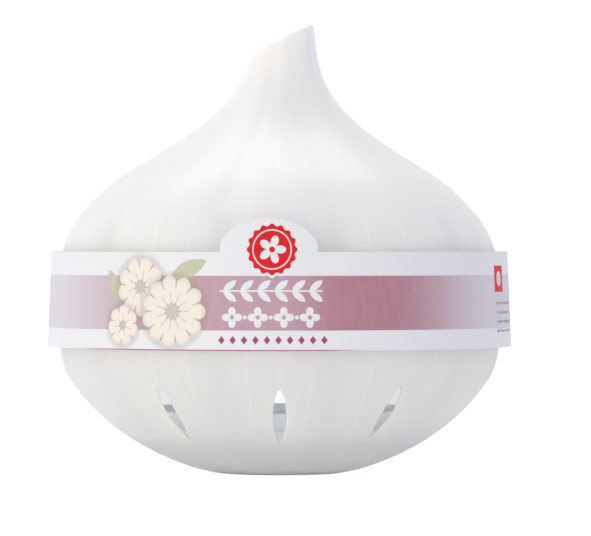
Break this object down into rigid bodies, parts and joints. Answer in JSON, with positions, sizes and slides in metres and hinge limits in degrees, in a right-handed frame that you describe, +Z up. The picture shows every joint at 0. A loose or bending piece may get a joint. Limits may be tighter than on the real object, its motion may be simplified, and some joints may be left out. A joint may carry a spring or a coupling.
{
  "type": "garlic keeper",
  "caption": "Ventilated plastic box in the shape of a garlic bulb, with a lift-off lid, a vent tray inside and a printed card sleeve round its widest part",
  "frame": {"origin": "centre of the flat foot, on the surface that the keeper stands on", "axes": "+Z up along the bulb's axis, -Y towards the front of the card sleeve, +X to the right seen from the front"},
  "size_m": [0.122, 0.1224, 0.1178],
  "materials": {
    "bulb_plastic": "warm white satin moulded plastic",
    "tray_plastic": "white moulded plastic, faintly blue inside the bowl",
    "printed_card": "white coated card printed in pink and red, gloss varnish"
  },
  "bodies": {
    "bowl": {"bowl": "bulb_plastic"},
    "lid": {"lid": "bulb_plastic"},
    "tray": {"vent_tray": "tray_plastic"},
    "sleeve": {"card_sleeve": "printed_card"}
  },
  "joints": [
    {"name": "lid_lift", "type": "slide", "parent": "bowl", "child": "lid", "axis": [0, 0, 1], "range_m": [0, 0.09]},
    {"name": "tray_lift", "type": "slide", "parent": "bowl", "child": "tray", "axis": [0, 0, 1], "range_m": [0, 0.04]},
    {"name": "sleeve_slide", "type": "slide", "parent": "bowl", "child": "sleeve", "axis": [0, 0, 1], "range_m": [0, 0.1]}
  ]
}
